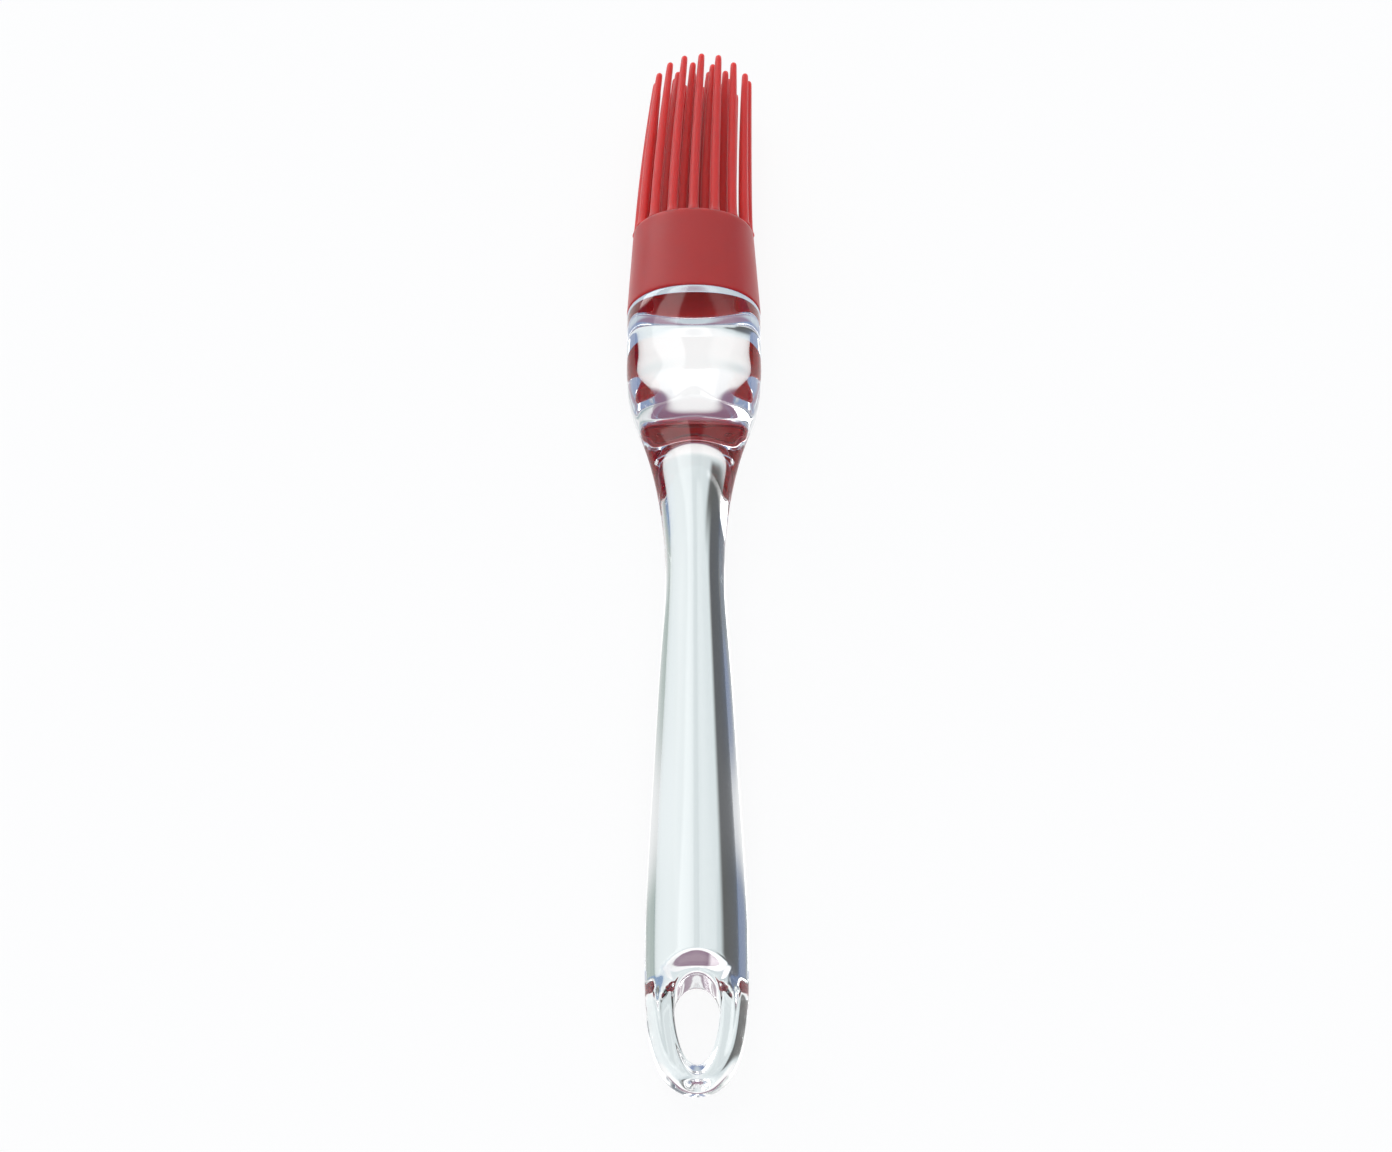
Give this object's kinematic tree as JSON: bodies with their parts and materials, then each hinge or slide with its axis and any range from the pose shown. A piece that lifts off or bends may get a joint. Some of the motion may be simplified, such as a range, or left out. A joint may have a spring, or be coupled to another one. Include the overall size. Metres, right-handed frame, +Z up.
{
  "type": "pastry brush",
  "caption": "Clear acrylic handle with a waisted grip and an egg-shaped hanging hole, carrying a push-on red silicone head of soft round bristles for spreading glaze, oil or butter.",
  "frame": {"origin": "on the table, under the centre of the brush's box, with the brush lying on its back", "axes": "+Y along the length towards the bristles, +X across the width, +Z up from the table, out of the face that the picture shows"},
  "size_m": [0.027, 0.2412, 0.0209],
  "materials": {
    "clear_acrylic": "polished, see-through moulded acrylic",
    "red_silicone": "satin moulded silicone rubber, opaque red"
  },
  "bodies": {
    "grip": {"handle": "clear_acrylic"},
    "brush_head": {"head_sleeve": "red_silicone", "bristle_tuft": "red_silicone"}
  },
  "joints": [
    {"name": "head_pull_off", "type": "slide", "parent": "grip", "child": "brush_head", "axis": [0, 0.9996, 0.0265], "range_m": [0, 0.018]}
  ]
}
